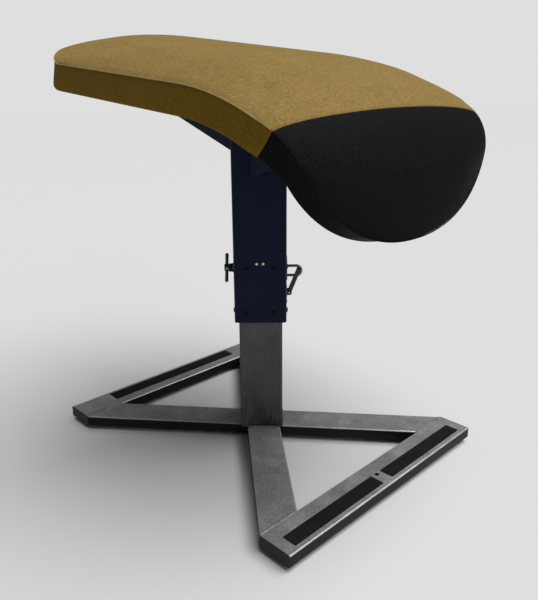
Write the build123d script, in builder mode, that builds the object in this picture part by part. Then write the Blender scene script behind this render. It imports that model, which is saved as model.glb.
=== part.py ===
"""Gymnastics vaulting table: welded bow-tie base, telescopic square column, padded top.

Millimetres.  +X points to the run-up end (the tongue of the top) and +Z is up.  The
pieces are drawn about the column's axis, and save() moves them back by origin_shift, so
that the origin is on the floor under the middle of the whole object.
"""
from build123d import *
from math import asin, atan2, cos, degrees, radians, sin, sqrt, tan
import os

# ---------------------------------------------------------------- driving dimensions
origin_shift = 18.0

# base frame
base_length = 1206.0
base_width = 960.0
bar_width = 122.0
bar_height = 41.0
bar_wall = 4.0
bar_corner_r = 6.0
foot_r = 30.0
foot_height = 16.0
foot_inset_x = 43.0
foot_inset_y = 40.0
foot_screw_r = 4.0
foot_head_r = 8.0
anchor_r = 7.5
anchor_x = 540.0
strip_thickness = 1.5
front_strip_x = (534.0, 584.0)
front_strip_y = (24.0, 440.0)
rear_strip_x = (-585.0, -527.0)
rear_strip_half = 320.0

# telescopic column, turned 45 degrees about Z
inner_size = 154.0
inner_wall = 6.0
inner_top = 800.0
inner_corner_r = 9.0
outer_size = 183.0
outer_wall = 5.0
outer_bottom = 481.0
outer_corner_r = 12.0
glide_clearance = 0.3
lower_pad_z = (486.0, 708.0)
upper_pad_z = (762.0, 800.0)
pad_half_width = 64.0
index_pitch = 50.0
steps_down = 8
steps_up = 1
bolt_rows = (514.0, 673.5)
bolt_offset = 46.5
bolt_r = 4.0
bolt_head_r = 9.0
bolt_head_height = 4.5
brass_z = 696.0
brass_offset = 11.0
brass_r = 3.0
brass_head_r = 5.5
brass_head_height = 3.5

# clamp screw on the left face
clamp_z = 658.0
clamp_screw_r = 8.0
clamp_boss_r = (19.0, 15.0)
clamp_boss_length = 20.0
clamp_hub_r = 13.5
clamp_hub_length = 16.0
clamp_bar_r = 6.0
clamp_bar_length = 102.0
clamp_bar_turn = 32.0
clamp_bar_ball_r = 6.8
pressure_pad_r = 10.0
pressure_pad_thickness = 4.0

# index latch on the right face
latch_z = 663.0
latch_leg_gap = 35.0
latch_rod_r = 5.0
latch_reach = 150.0
latch_engage = 10.0
latch_guide_thickness = 4.0
lever_pivot = (103.0, 566.0)
lever_length = 86.24
lever_lean = 21.57
lever_width = 13.0
lever_blade = 3.0
lever_gap = 16.0
lever_pin_r = 3.0

# lift strut inside the column
strut_tube_r = 14.0
strut_bore_r = 11.0
strut_rod_r = 5.0
strut_tube_z = (65.0, 560.0)
strut_rod_z = (480.0, 1180.0)
strut_block_r = 16.0

# top: the seam line runs along the side, from the rear end to the tip of the tongue
top_half_width = 475.0
seam_rear_x = -509.0
seam_height = 1303.0
seam_slope = 5.74
straight_end_x = 186.0
bend_radii = (932.0, 195.0)
bend_angles = (24.7, 80.2)
tongue_drop = 195.0
side_depth = 78.7
crown_heights = (99.0, 83.0, 62.0, 43.0)
tongue_taper = 0.223
tongue_end_length = 446.0
tongue_end_power = 3.56
tongue_round_power = 2.18
rear_corner_r = 62.0
rear_round = 30.0
rear_crown_share = 0.94
cover_thickness = 3.0
foam_gap = 0.3
board_thickness = 18.0
join_position = 1070.0
tip_margin = 6.0
rear_wall = 4.0
tip_wall = 6.0

# support arms under the board
arm_half_width = 88.0
arm_plate = 5.0
deck_plate_thickness = 6.0
deck_plate_x = (-440.0, 180.0)
deck_plate_half = 150.0
rear_arm_root_z = 1071.0
rear_arm_rise = 0.366
rear_arm_end_x = -430.0
front_arm_root_z = 986.0
front_arm_rise = 0.33
front_arm_end_x = 455.0
arm_board_gap = 3.0
deck_bolt_r = 4.0
deck_bolt_head_r = 9.0
deck_bolt_head_height = 4.0

# ---------------------------------------------------------------- derived dimensions
half_length = base_length / 2
half_width = base_width / 2
bar_top = foot_height + bar_height
bar_mid = foot_height + bar_height / 2
inner_x = half_length - bar_width
corner_distance = sqrt(inner_x**2 + half_width**2)
diagonal_angle = degrees(atan2(half_width, inner_x) - asin(bar_width / 2 / corner_distance))
inner_half = inner_size / 2
outer_half = outer_size / 2
outer_bore_half = outer_half - outer_wall
pad_thickness = outer_bore_half - inner_half - glide_clearance
front_face, right_face, back_face, left_face = -45, 45, 135, 225

os.makedirs("parts", exist_ok=True)


def save(part, name):
    """Label a finished piece and write it as one STEP file."""
    placed = Pos(-origin_shift, 0, 0) * part
    placed.label = name
    export_step(placed, f"parts/{name}.step")


def face_plane(angle, distance, height=0.0):
    """Plane square to a column face; local x runs along the face and local y is up."""
    a = radians(angle)
    return Plane(
        origin=(distance * cos(a), distance * sin(a), height),
        x_dir=(-sin(a), cos(a), 0),
        z_dir=(cos(a), sin(a), 0),
    )


def side_plane(angle):
    """Upright plane through the column's axis: local x leads out of the face, local y is up."""
    a = radians(angle)
    return Plane(origin=(0, 0, 0), x_dir=(cos(a), sin(a), 0), z_dir=(sin(a), -cos(a), 0))


def column_plane(height):
    """Level plane turned with the column."""
    return Plane(origin=(0, 0, height), x_dir=(1, 1, 0), z_dir=(0, 0, 1))


# ---------------------------------------------------------------- shape of the padded top
def seam_lengths():
    """Lengths of the seam line's four stretches: straight, long bend, tight bend, drop."""
    turn_1 = radians(bend_angles[0] - seam_slope)
    turn_2 = radians(bend_angles[1] - bend_angles[0])
    straight = (straight_end_x - seam_rear_x) / cos(radians(seam_slope))
    return straight, bend_radii[0] * turn_1, bend_radii[1] * turn_2, tongue_drop


seam_total = sum(seam_lengths())


def seam_point(s):
    """Place and downward angle of the seam line at distance s from its rear end."""
    straight, bend_1, bend_2, drop = seam_lengths()
    angle = radians(seam_slope)
    x = seam_rear_x
    z = seam_height - tan(angle) * seam_rear_x
    run = min(s, straight)
    x += run * cos(angle)
    z -= run * sin(angle)
    left = s - run
    for length, radius in ((bend_1, bend_radii[0]), (bend_2, bend_radii[1])):
        run = min(left, length)
        turned = angle + run / radius
        x += radius * (sin(turned) - sin(angle))
        z += radius * (cos(turned) - cos(angle))
        angle = turned
        left -= run
    x += left * cos(angle)
    z -= left * sin(angle)
    return x, z, angle


def half_width_at(s):
    """Half width of the top: full width, then a taper that ends in a rounded tongue."""
    straight, bend_1, _, _ = seam_lengths()
    width = top_half_width - tongue_taper * max(0.0, s - straight - bend_1)
    k = min(1.0, max(0.0, (s - seam_total + tongue_end_length) / tongue_end_length))
    width *= (1 - k**tongue_end_power) ** (1 / tongue_round_power)
    d = max(0.0, (rear_corner_r - s) / rear_corner_r)
    return width - rear_corner_r * (1 - sqrt(1 - d * d))


def crown_at(s):
    """Height of the crown above the seam line, fading at both ends."""
    straight, bend_1, _, _ = seam_lengths()
    stops = (0.0, straight, straight + bend_1, seam_total)
    crown = crown_heights[-1]
    for i in range(3):
        if stops[i] <= s <= stops[i + 1]:
            share = (s - stops[i]) / (stops[i + 1] - stops[i])
            crown = crown_heights[i] + share * (crown_heights[i + 1] - crown_heights[i])
            break
    k = min(1.0, max(0.0, (s - seam_total + tongue_end_length) / tongue_end_length))
    d = max(0.0, (rear_round - s) / rear_round)
    rear_fade = rear_crown_share + (1 - rear_crown_share) * sqrt(1 - d * d)
    return crown * sqrt(1 - k * k) * rear_fade


def section_plane(s):
    """Plane across the top at s: local x is the width, local y the outward normal."""
    x, z, angle = seam_point(s)
    return Plane(origin=(x, 0, z), x_dir=(0, 1, 0), z_dir=(cos(angle), 0, -sin(angle)))


def stations(start, end):
    """Section positions: sparse on the straight part and close in the bends."""
    straight, bend_1, bend_2, _ = seam_lengths()
    marks = [0, rear_wall, 10, 18, 28, 43, rear_corner_r, straight / 2]
    marks += [straight, straight + bend_1 / 2, straight + bend_1]
    marks += [straight + bend_1 + bend_2 * k / 3 for k in (1, 2, 3)]
    marks += [seam_total - d for d in (150, 105, 65, 35, 20, tip_margin + tip_wall)]
    inside = [m for m in marks if start + 1 < m < end - 1]
    return [start] + sorted(inside) + [end]


# ---------------------------------------------------------------- base frame
def tube_profile(width, height, corner, wall):
    """Closed rectangular hollow section, drawn in the active sketch."""
    RectangleRounded(width, height, corner)
    RectangleRounded(width - 2 * wall, height - 2 * wall, corner - wall + 1, mode=Mode.SUBTRACT)


foot_places = [
    (sx * (half_length - foot_inset_x), sy * (half_width - foot_inset_y))
    for sx in (1, -1)
    for sy in (1, -1)
]
bar_centre_x = half_length - bar_width / 2

with BuildPart() as front_bar:
    with BuildSketch(Plane(origin=(bar_centre_x, 0, bar_mid), x_dir=(1, 0, 0), z_dir=(0, -1, 0))):
        tube_profile(bar_width, bar_height, bar_corner_r, bar_wall)
    extrude(amount=half_width, both=True)
    with BuildSketch(Plane.XY.offset(foot_height)):
        with Locations((anchor_x, 0)):
            Circle(anchor_r)
    extrude(amount=bar_height, mode=Mode.SUBTRACT)
    with BuildSketch(Plane.XY.offset(foot_height)):
        with Locations(*foot_places[:2]):
            Circle(foot_screw_r)
    extrude(amount=bar_height / 2, mode=Mode.SUBTRACT)
save(front_bar.part, "front_bar")

with BuildPart() as rear_bar:
    with BuildSketch(Plane(origin=(-bar_centre_x, 0, bar_mid), x_dir=(1, 0, 0), z_dir=(0, -1, 0))):
        tube_profile(bar_width, bar_height, bar_corner_r, bar_wall)
    extrude(amount=half_width, both=True)
    with BuildSketch(Plane.XY.offset(foot_height)):
        with Locations(*foot_places[2:]):
            Circle(foot_screw_r)
    extrude(amount=bar_height / 2, mode=Mode.SUBTRACT)
save(rear_bar.part, "rear_bar")


def diagonal_plane(sign):
    """Plane across a diagonal tube at the centre of the base."""
    a = radians(sign * diagonal_angle)
    return Plane(origin=(0, 0, bar_mid), x_dir=(-sin(a), cos(a), 0), z_dir=(cos(a), sin(a), 0))


with BuildPart() as diagonal_long:
    with BuildSketch(diagonal_plane(1)):
        tube_profile(bar_width, bar_height, bar_corner_r, bar_wall)
    extrude(amount=base_length, both=True)
    with BuildSketch(Plane.XY):
        Rectangle(2 * inner_x, 2 * base_width)
    extrude(amount=2 * bar_top, mode=Mode.INTERSECT)
save(diagonal_long.part, "diagonal_long")

for side, name in ((1, "diagonal_front_half"), (-1, "diagonal_rear_half")):
    with BuildPart() as diagonal_half:
        with BuildSketch(diagonal_plane(-1)):
            tube_profile(bar_width, bar_height, bar_corner_r, bar_wall)
        extrude(amount=base_length * side)
        with BuildSketch(Plane.XY):
            with Locations((side * inner_x / 2, 0)):
                Rectangle(inner_x, 2 * base_width)
        extrude(amount=2 * bar_top, mode=Mode.INTERSECT)
        with BuildSketch(diagonal_plane(1)):
            Rectangle(bar_width, 2 * bar_height)
        extrude(amount=base_length, both=True, mode=Mode.SUBTRACT)
    save(diagonal_half.part, name)

cap_plate = 3.0
cap_plug = 18.0
plug_clearance = 0.3
with BuildPart() as bar_end_caps:
    for sx in (1, -1):
        for sy in (1, -1):
            outward = Plane(
                origin=(sx * bar_centre_x, sy * half_width, bar_mid),
                x_dir=(sy, 0, 0),
                z_dir=(0, sy, 0),
            )
            with BuildSketch(outward):
                RectangleRounded(bar_width - 1, bar_height - 1, bar_corner_r - 0.5)
            extrude(amount=cap_plate)
            with BuildSketch(outward):
                RectangleRounded(
                    bar_width - 2 * bar_wall - 2 * plug_clearance,
                    bar_height - 2 * bar_wall - 2 * plug_clearance,
                    2.7,
                )
            extrude(amount=-cap_plug)
save(bar_end_caps.part, "bar_end_caps")

head_recess = 6.0
with BuildPart() as base_feet:
    with BuildSketch(Plane.XY):
        with Locations(*foot_places):
            Circle(foot_r)
    extrude(amount=foot_height)
    chamfer(base_feet.edges().filter_by(GeomType.CIRCLE).group_by(Axis.Z)[0], 2)
    with BuildSketch(Plane.XY):
        with Locations(*foot_places):
            Circle(foot_head_r + 1)
    extrude(amount=head_recess, mode=Mode.SUBTRACT)
    with BuildSketch(Plane.XY):
        with Locations(*foot_places):
            Circle(foot_screw_r)
    extrude(amount=foot_height, mode=Mode.SUBTRACT)
save(base_feet.part, "base_feet")

with BuildPart() as foot_screws:
    with BuildSketch(Plane.XY.offset(head_recess - 3)):
        with Locations(*foot_places):
            Circle(foot_head_r)
    extrude(amount=3)
    with BuildSketch(Plane.XY.offset(head_recess)):
        with Locations(*foot_places):
            Circle(foot_screw_r)
    extrude(amount=foot_height + bar_wall + 6 - head_recess)
save(foot_screws.part, "foot_screws")

strip_mid_x = sum(front_strip_x) / 2
strip_mid_y = sum(front_strip_y) / 2
strip_corner_r = 3.0
with BuildPart() as front_grip_strips:
    with BuildSketch(Plane.XY.offset(bar_top)):
        with Locations((strip_mid_x, strip_mid_y), (strip_mid_x, -strip_mid_y)):
            RectangleRounded(
                front_strip_x[1] - front_strip_x[0], front_strip_y[1] - front_strip_y[0], strip_corner_r
            )
    extrude(amount=strip_thickness)
save(front_grip_strips.part, "front_grip_strips")

with BuildPart() as rear_grip_strip:
    with BuildSketch(Plane.XY.offset(bar_top)):
        with Locations((sum(rear_strip_x) / 2, 0)):
            RectangleRounded(rear_strip_x[1] - rear_strip_x[0], 2 * rear_strip_half, strip_corner_r)
    extrude(amount=strip_thickness)
save(rear_grip_strip.part, "rear_grip_strip")

# ---------------------------------------------------------------- inner column
index_clearance = 0.4
index_heights = [latch_z + index_pitch * k for k in range(-steps_down, steps_up + 1)]
with BuildPart() as inner_column:
    with BuildSketch(column_plane(bar_top)):
        tube_profile(inner_size, inner_size, inner_corner_r, inner_wall)
    extrude(amount=inner_top - bar_top)
    with BuildSketch(face_plane(right_face, inner_half - 2 * inner_wall)):
        with Locations(*[(0, z) for z in index_heights]):
            Circle(latch_rod_r + index_clearance)
    extrude(amount=3 * inner_wall, mode=Mode.SUBTRACT)
save(inner_column.part, "inner_column")

weld_leg = 6.0
with BuildPart() as column_weld:
    with BuildSketch(column_plane(bar_top)):
        Rectangle(inner_size + 2 * weld_leg, inner_size + 2 * weld_leg)
    extrude(amount=weld_leg, taper=44)
    with BuildSketch(column_plane(bar_top)):
        RectangleRounded(inner_size, inner_size, inner_corner_r)
    extrude(amount=weld_leg, mode=Mode.SUBTRACT)
    with BuildSketch(Plane.XY.offset(bar_top)):
        Rectangle(base_width, bar_width - 2 * bar_corner_r, rotation=diagonal_angle)
        Rectangle(base_width, bar_width - 2 * bar_corner_r, rotation=-diagonal_angle)
    extrude(amount=weld_leg, mode=Mode.INTERSECT)
save(column_weld.part, "column_weld")

floor_plate_thickness = 8.0
with BuildPart() as column_floor_plate:
    with BuildSketch(column_plane(bar_top)):
        plate_size = inner_size - 2 * inner_wall - 1
        RectangleRounded(plate_size, plate_size, 3)
    extrude(amount=floor_plate_thickness)
save(column_floor_plate.part, "column_floor_plate")

with BuildPart() as upper_glide_pads:
    for face in (front_face, right_face, back_face, left_face):
        with BuildSketch(face_plane(face, inner_half, sum(upper_pad_z) / 2)):
            RectangleRounded(2 * pad_half_width, upper_pad_z[1] - upper_pad_z[0], 4)
        extrude(amount=pad_thickness)
save(upper_glide_pads.part, "upper_glide_pads")

# ---------------------------------------------------------------- lift strut
strut_end_wall = 6.0
gland_height = 12.0
rod_clearance = 0.05
with BuildPart() as strut_cylinder:
    with BuildSketch(Plane.XY.offset(strut_tube_z[0])):
        Circle(strut_tube_r)
    extrude(amount=strut_tube_z[1] - strut_tube_z[0])
    with BuildSketch(Plane.XY.offset(strut_tube_z[0] + strut_end_wall)):
        Circle(strut_bore_r)
    extrude(
        amount=strut_tube_z[1] - strut_tube_z[0] - strut_end_wall - gland_height, mode=Mode.SUBTRACT
    )
    with BuildSketch(Plane.XY.offset(strut_tube_z[1] - 2 * gland_height)):
        Circle(strut_rod_r + rod_clearance)
    extrude(amount=3 * gland_height, mode=Mode.SUBTRACT)
save(strut_cylinder.part, "strut_cylinder")

piston_height = 12.0
with BuildPart() as strut_rod:
    with BuildSketch(Plane.XY.offset(strut_rod_z[0])):
        Circle(strut_rod_r)
    extrude(amount=strut_rod_z[1] - strut_rod_z[0])
    with BuildSketch(Plane.XY.offset(strut_rod_z[0])):
        Circle(strut_bore_r - rod_clearance)
    extrude(amount=piston_height)
save(strut_rod.part, "strut_rod")


def deck_underside(depth):
    """Plane parallel to the board's straight part, depth below the seam line."""
    a = radians(seam_slope)
    x, z = -depth * sin(a), seam_height - depth * cos(a)
    return Plane(origin=(x, 0, z), x_dir=(cos(a), 0, -sin(a)), z_dir=(sin(a), 0, cos(a)))


plate_underside = deck_underside(side_depth + deck_plate_thickness)

with BuildPart() as strut_top_block:
    with BuildSketch(Plane.XY.offset(strut_rod_z[1])):
        Circle(strut_block_r)
    extrude(amount=100)
    split(bisect_by=plate_underside, keep=Keep.BOTTOM)
save(strut_top_block.part, "strut_top_block")

# ---------------------------------------------------------------- outer column
leg_heights = (latch_z, latch_z - latch_leg_gap)
with BuildPart() as outer_column:
    with BuildSketch(column_plane(outer_bottom)):
        tube_profile(outer_size, outer_size, outer_corner_r, outer_wall)
    extrude(amount=seam_height - outer_bottom)
    split(bisect_by=plate_underside, keep=Keep.BOTTOM)
    for face in (front_face, right_face, back_face, left_face):
        with BuildSketch(face_plane(face, outer_bore_half - 1)):
            with Locations(*[(sx * bolt_offset, z) for z in bolt_rows for sx in (1, -1)]):
                Circle(bolt_r)
            with Locations((brass_offset, brass_z), (-brass_offset, brass_z)):
                Circle(brass_r)
        extrude(amount=outer_wall + 2, mode=Mode.SUBTRACT)
    with BuildSketch(face_plane(left_face, outer_bore_half - 1)):
        with Locations((0, clamp_z)):
            Circle(clamp_screw_r + 1)
    extrude(amount=outer_wall + 2, mode=Mode.SUBTRACT)
    with BuildSketch(face_plane(right_face, outer_bore_half - 1)):
        with Locations(*[(0, z) for z in leg_heights]):
            Circle(latch_rod_r + 0.2)
    extrude(amount=outer_wall + 2, mode=Mode.SUBTRACT)
save(outer_column.part, "outer_column")

pad_height = lower_pad_z[1] - lower_pad_z[0]
pad_floor = inner_half + glide_clearance
with BuildPart() as lower_glide_pads:
    for face in (front_face, right_face, back_face, left_face):
        with BuildSketch(face_plane(face, pad_floor, sum(lower_pad_z) / 2)):
            RectangleRounded(2 * pad_half_width, pad_height, 4)
        extrude(amount=pad_thickness)
        with BuildSketch(face_plane(face, outer_bore_half - bolt_r)):
            with Locations(*[(sx * bolt_offset, z) for z in bolt_rows for sx in (1, -1)]):
                Circle(bolt_r)
        extrude(amount=bolt_r, mode=Mode.SUBTRACT)
    with BuildSketch(face_plane(left_face, pad_floor)):
        with Locations((0, clamp_z)):
            Circle(pressure_pad_r + 1)
    extrude(amount=pad_thickness, mode=Mode.SUBTRACT)
    with BuildSketch(face_plane(right_face, pad_floor)):
        with Locations(*[(0, z) for z in leg_heights]):
            Circle(latch_rod_r + 1)
    extrude(amount=pad_thickness, mode=Mode.SUBTRACT)
save(lower_glide_pads.part, "lower_glide_pads")

hex_key_r = 2.5
with BuildPart() as glide_pad_bolts:
    for face in (front_face, right_face, back_face, left_face):
        spots = [(sx * bolt_offset, z) for z in bolt_rows for sx in (1, -1)]
        with BuildSketch(face_plane(face, outer_half)):
            with Locations(*spots):
                Circle(bolt_head_r)
        extrude(amount=bolt_head_height, taper=30)
        with BuildSketch(face_plane(face, outer_bore_half - bolt_r)):
            with Locations(*spots):
                Circle(bolt_r)
        extrude(amount=bolt_r + outer_wall)
        with BuildSketch(face_plane(face, outer_half + bolt_head_height - 2)):
            with Locations(*spots):
                RegularPolygon(hex_key_r, 6)
        extrude(amount=2, mode=Mode.SUBTRACT)
save(glide_pad_bolts.part, "glide_pad_bolts")

with BuildPart() as pad_adjusting_screws:
    for face in (front_face, right_face, back_face, left_face):
        spots = [(sx * brass_offset, brass_z) for sx in (1, -1)]
        with BuildSketch(face_plane(face, outer_half)):
            with Locations(*spots):
                Circle(brass_head_r)
        extrude(amount=brass_head_height, taper=25)
        with BuildSketch(face_plane(face, outer_bore_half)):
            with Locations(*spots):
                Circle(brass_r)
        extrude(amount=outer_wall)
        with BuildSketch(face_plane(face, outer_half + brass_head_height - 1.2)):
            with Locations(*spots):
                Rectangle(2 * brass_head_r, 1.2)
        extrude(amount=1.2, mode=Mode.SUBTRACT)
save(pad_adjusting_screws.part, "pad_adjusting_screws")

# ---------------------------------------------------------------- clamp screw
clamp_axis = face_plane(left_face, 0, clamp_z)
boss_end = outer_half + clamp_boss_length
with BuildPart() as clamp_boss:
    with BuildSketch(side_plane(left_face)):
        with BuildLine():
            Polyline(
                (outer_half, clamp_z),
                (outer_half, clamp_z + clamp_boss_r[0]),
                (outer_half + 3, clamp_z + clamp_boss_r[0]),
                (outer_half + 9, clamp_z + clamp_boss_r[1]),
                (boss_end, clamp_z + clamp_boss_r[1]),
                (boss_end, clamp_z),
                close=True,
            )
        make_face()
    revolve(axis=Axis((0, 0, clamp_z), clamp_axis.z_dir))
    with BuildSketch(clamp_axis):
        Circle(clamp_screw_r + rod_clearance)
    extrude(amount=2 * outer_size, mode=Mode.SUBTRACT)
save(clamp_boss.part, "clamp_boss")

pad_start = inner_half + glide_clearance
with BuildPart() as clamp_pressure_pad:
    with BuildSketch(face_plane(left_face, pad_start, clamp_z)):
        Circle(pressure_pad_r)
    extrude(amount=pressure_pad_thickness)
save(clamp_pressure_pad.part, "clamp_pressure_pad")

hub_start = boss_end + 1
bar_distance = hub_start + clamp_hub_length - clamp_bar_r - 2.5
bar_turn = radians(clamp_bar_turn)
bar_direction = Vector(-1, 1, 0).normalized() * sin(bar_turn) + Vector(0, 0, 1) * cos(bar_turn)
bar_centre = face_plane(left_face, bar_distance, clamp_z).origin
with BuildPart() as clamp_spindle:
    with BuildSketch(face_plane(left_face, pad_start + pressure_pad_thickness, clamp_z)):
        Circle(clamp_screw_r)
    extrude(amount=hub_start - pad_start - pressure_pad_thickness)
    with BuildSketch(face_plane(left_face, hub_start, clamp_z)):
        Circle(clamp_hub_r)
    extrude(amount=clamp_hub_length)
    chamfer(clamp_spindle.edges().filter_by(GeomType.CIRCLE).sort_by_distance((0, 0, clamp_z))[-1], 2)
    with BuildSketch(Plane(origin=bar_centre, z_dir=bar_direction)):
        Circle(clamp_bar_r)
    extrude(amount=clamp_hub_r * 2, both=True, mode=Mode.SUBTRACT)
save(clamp_spindle.part, "clamp_spindle")

with BuildPart() as clamp_t_bar:
    with BuildSketch(Plane(origin=bar_centre, z_dir=bar_direction)):
        Circle(clamp_bar_r)
    extrude(amount=clamp_bar_length / 2, both=True)
    for end in (1, -1):
        with Locations(bar_centre + bar_direction * (end * (clamp_bar_length / 2 - 4))):
            Sphere(clamp_bar_ball_r)
save(clamp_t_bar.part, "clamp_t_bar")

# ---------------------------------------------------------------- index latch
latch_side = side_plane(right_face)
bend_r = latch_leg_gap / 2
bend_x = latch_reach - latch_rod_r - bend_r
lower_leg_start = outer_half - 1.5
with BuildPart() as latch_pull_rod:
    with BuildLine(latch_side) as rod_path:
        upper_leg = Line((pad_start, latch_z), (bend_x, latch_z))
        bend = ThreePointArc(
            (bend_x, latch_z), (bend_x + bend_r, latch_z - bend_r), (bend_x, latch_z - latch_leg_gap)
        )
        lower_leg = Line((bend_x, latch_z - latch_leg_gap), (lower_leg_start, latch_z - latch_leg_gap))
    with BuildSketch(face_plane(right_face, pad_start, latch_z)):
        Circle(latch_rod_r)
    sweep()
save(latch_pull_rod.part, "latch_pull_rod")

guide_half_width = 13.0
guide_margin = 15.0
with BuildPart() as latch_guide:
    with BuildSketch(face_plane(right_face, outer_half, latch_z - bend_r)):
        RectangleRounded(2 * guide_half_width, latch_leg_gap + 2 * guide_margin, 4)
        with Locations((0, bend_r), (0, -bend_r)):
            Circle(latch_rod_r + rod_clearance, mode=Mode.SUBTRACT)
    extrude(amount=latch_guide_thickness)
save(latch_guide.part, "latch_guide")

pivot_x, pivot_z = lever_pivot
bracket_plate = 3.0
ear_inner = lever_gap / 2 + lever_blade + 0.5
ear_r = 9.0
pivot_origin = latch_side.from_local_coords((pivot_x, pivot_z, 0))
pivot_plane = Plane(origin=pivot_origin, x_dir=latch_side.x_dir, z_dir=latch_side.z_dir)
with BuildPart() as latch_bracket:
    with BuildSketch(face_plane(right_face, outer_half, pivot_z + 2)):
        RectangleRounded(2 * (ear_inner + bracket_plate), 46, 3)
    extrude(amount=bracket_plate)
    for side in (1, -1):
        with BuildSketch(pivot_plane.offset(side * ear_inner if side > 0 else -ear_inner - bracket_plate)):
            Circle(ear_r)
            with Locations(((outer_half - pivot_x) / 2, 0)):
                Rectangle(pivot_x - outer_half, 2 * ear_r)
        extrude(amount=bracket_plate)
    with BuildSketch(pivot_plane):
        Circle(lever_pin_r)
    extrude(amount=2 * ear_inner, both=True, mode=Mode.SUBTRACT)
save(latch_bracket.part, "latch_bracket")

pin_half = ear_inner + bracket_plate + 1.5
with BuildPart() as latch_pivot_pin:
    with BuildSketch(pivot_plane):
        Circle(lever_pin_r)
    extrude(amount=pin_half, both=True)
save(latch_pivot_pin.part, "latch_pivot_pin")

spring_wire_r = 0.8
spring_coil_r = 5.0
spring_turns = 5
spring_pitch = 2.2
spring_length = spring_turns * spring_pitch
with BuildPart() as latch_torsion_spring:
    with BuildLine() as coil:
        Helix(
            pitch=spring_pitch,
            height=spring_length,
            radius=spring_coil_r,
            center=pivot_plane.offset(-spring_length / 2).origin,
            direction=pivot_plane.z_dir,
        )
    with BuildSketch(Plane(origin=coil.line @ 0, z_dir=coil.line % 0)):
        Circle(spring_wire_r)
    sweep(path=coil.line, is_frenet=True)
save(latch_torsion_spring.part, "latch_torsion_spring")

lean = radians(lever_lean)
tip_x = pivot_x + lever_length * sin(lean)
tip_z = pivot_z + lever_length * cos(lean)
tail = 4.0
nose = 7.0
cross_pin_r = 3.5
lever_start = (pivot_x - tail * sin(lean), pivot_z - tail * cos(lean))
lever_end = (tip_x + nose * sin(lean), tip_z + nose * cos(lean))
with BuildPart() as latch_lever:
    for side in (1, -1):
        near = lever_gap / 2
        start = near if side > 0 else -near - lever_blade
        with BuildSketch(latch_side.offset(start)):
            with BuildLine():
                Line(lever_start, lever_end)
            trace(line_width=lever_width)
            with Locations((pivot_x, pivot_z)):
                Circle(lever_width / 2 + 1)
                Circle(lever_pin_r + rod_clearance, mode=Mode.SUBTRACT)
        extrude(amount=lever_blade)
    with BuildSketch(latch_side):
        with Locations((tip_x, tip_z)):
            Circle(cross_pin_r)
    extrude(amount=lever_gap / 2 + lever_blade, both=True)
save(latch_lever.part, "latch_lever")

# ---------------------------------------------------------------- support arms
column_reach = outer_half * sqrt(2)
arm_root_x = column_reach - arm_half_width + arm_plate + 0.3


def board_underside_z(x, below):
    """Height of a line parallel to the board's underside at x, below it by a distance."""
    low, high = 0.0, seam_total
    depth = side_depth + below
    for _ in range(60):
        s = (low + high) / 2
        sx, _, angle = seam_point(s)
        if sx - depth * sin(angle) < x:
            low = s
        else:
            high = s
    _, sz, angle = seam_point(low)
    return sz - depth * cos(angle)


def arm_outline(direction, root_z, rise, end_x):
    """Side view of an arm: sloped lower edge and an upper edge that follows the deck."""
    steps = 1 if direction < 0 else 8
    lower = [(direction * arm_root_x, root_z)]
    lower.append((end_x, root_z + rise * (abs(end_x) - arm_root_x)))
    upper = []
    for k in range(steps + 1):
        x = end_x + (direction * arm_root_x - end_x) * k / steps
        below = deck_plate_thickness if x <= deck_plate_x[1] + 5 else arm_board_gap
        upper.append((x, board_underside_z(x, below)))
    if direction > 0:
        step_x = deck_plate_x[1] + 5
        upper = [p for p in upper if abs(p[0] - step_x) > 15]
        near = [p for p in upper if p[0] < step_x]
        far = [p for p in upper if p[0] > step_x]
        upper = far
        upper.append((step_x, board_underside_z(step_x, arm_board_gap)))
        upper.append((step_x, board_underside_z(step_x, deck_plate_thickness)))
        upper += near
    return lower + upper


def arm_plates(name, direction, root_z, rise, end_x):
    """Two side plates and a floor plate of one welded arm."""
    outline = arm_outline(direction, root_z, rise, end_x)
    for side, word in ((1, "left"), (-1, "right")):
        start = arm_half_width if side > 0 else -arm_half_width + arm_plate
        with BuildPart() as side_plate:
            with BuildSketch(Plane.XZ.offset(-start)):
                with BuildLine():
                    Polyline(*outline, close=True)
                make_face()
            extrude(amount=arm_plate)
        save(side_plate.part, f"{name}_{word}_plate")
    inside = arm_half_width - arm_plate
    with BuildPart() as floor_plate:
        with BuildSketch(Plane.XZ.offset(-inside)):
            with BuildLine():
                Polyline(
                    (0, root_z - rise * arm_root_x),
                    (end_x, root_z + rise * (abs(end_x) - arm_root_x)),
                    (end_x, root_z + arm_plate + rise * (abs(end_x) - arm_root_x)),
                    (0, root_z + arm_plate - rise * arm_root_x),
                    close=True,
                )
            make_face()
        extrude(amount=2 * inside)
        with BuildSketch(column_plane(0)):
            Rectangle(outer_size + 0.4, outer_size + 0.4)
        extrude(amount=2 * seam_height, mode=Mode.SUBTRACT)
    save(floor_plate.part, f"{name}_floor_plate")


arm_plates("rear_arm", -1, rear_arm_root_z, rear_arm_rise, rear_arm_end_x)
arm_plates("front_arm", 1, front_arm_root_z, front_arm_rise, front_arm_end_x)

deck_bolt_spots = [(x, y) for x in (-400, -240, -80, 110) for y in (-125, 125)]
slope_length = (deck_plate_x[1] - deck_plate_x[0]) / cos(radians(seam_slope))
deck_mid = sum(deck_plate_x) / 2
with BuildPart() as deck_plate:
    with BuildSketch(plate_underside):
        with Locations((deck_mid, 0)):
            RectangleRounded(slope_length, 2 * deck_plate_half, 12)
        with Locations(*deck_bolt_spots):
            Circle(deck_bolt_r, mode=Mode.SUBTRACT)
    extrude(amount=deck_plate_thickness)
save(deck_plate.part, "deck_plate")

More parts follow.
